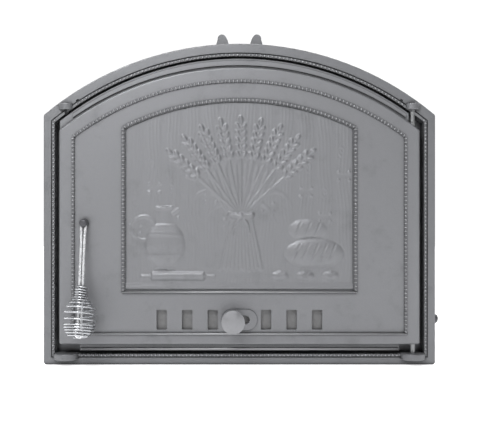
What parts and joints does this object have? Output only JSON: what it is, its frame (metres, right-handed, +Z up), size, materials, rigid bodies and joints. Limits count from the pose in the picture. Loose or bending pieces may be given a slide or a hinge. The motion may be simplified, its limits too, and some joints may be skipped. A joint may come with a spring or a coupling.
{
  "type": "cast iron oven door",
  "caption": "Arched cast iron oven door: beaded frame with collar, hinged leaf with relief panel, sliding vent damper and turning latch with a wound wire grip.",
  "frame": {"origin": "foot of the frame border at its middle, on the border's back plane, which lies on the wall", "axes": "+X along the wall to the hinge side, +Y into the wall, +Z up"},
  "size_m": [0.4971, 0.1101, 0.4157],
  "materials": {
    "cast_iron": "satin, fine sand-cast grain",
    "worn_iron": "satin, rubbed bright on the face",
    "hinge_steel": "drawn, dull",
    "black_steel": "blackened, satin",
    "damper_steel": "rolled sheet, dull",
    "bright_steel": "zinc plated",
    "chrome_wire": "polished chrome wire"
  },
  "bodies": {
    "frame": {"frame_casting": "cast_iron", "lower_hinge_pin": "hinge_steel", "upper_hinge_pin": "hinge_steel", "anchor_bolt": "black_steel", "anchor_nuts": "black_steel"},
    "leaf": {"leaf_casting": "cast_iron", "guide_washers": "bright_steel", "guide_screws": "bright_steel"},
    "damper": {"damper_plate": "damper_steel", "knob": "worn_iron", "knob_washer": "bright_steel", "knob_screw": "bright_steel"},
    "latch": {"latch_spindle": "black_steel", "latch_pawl": "black_steel", "latch_washer": "bright_steel", "latch_nut": "bright_steel", "handle_hairpin": "chrome_wire", "handle_grip": "chrome_wire"}
  },
  "joints": [
    {"name": "door_swing", "type": "hinge", "parent": "frame", "child": "leaf", "pos_m": [0.2146, -0.004, 0.15], "axis": [0, 0, 1], "range_deg": [0, 115]},
    {"name": "latch_turn", "type": "hinge", "parent": "leaf", "child": "latch", "pos_m": [-0.1905, 0, 0.1757], "axis": [0, -1, 0], "range_deg": [0, 90]},
    {"name": "vent_slide", "type": "slide", "parent": "leaf", "child": "damper", "axis": [1, 0, 0], "range_m": [0, 0.015]}
  ]
}
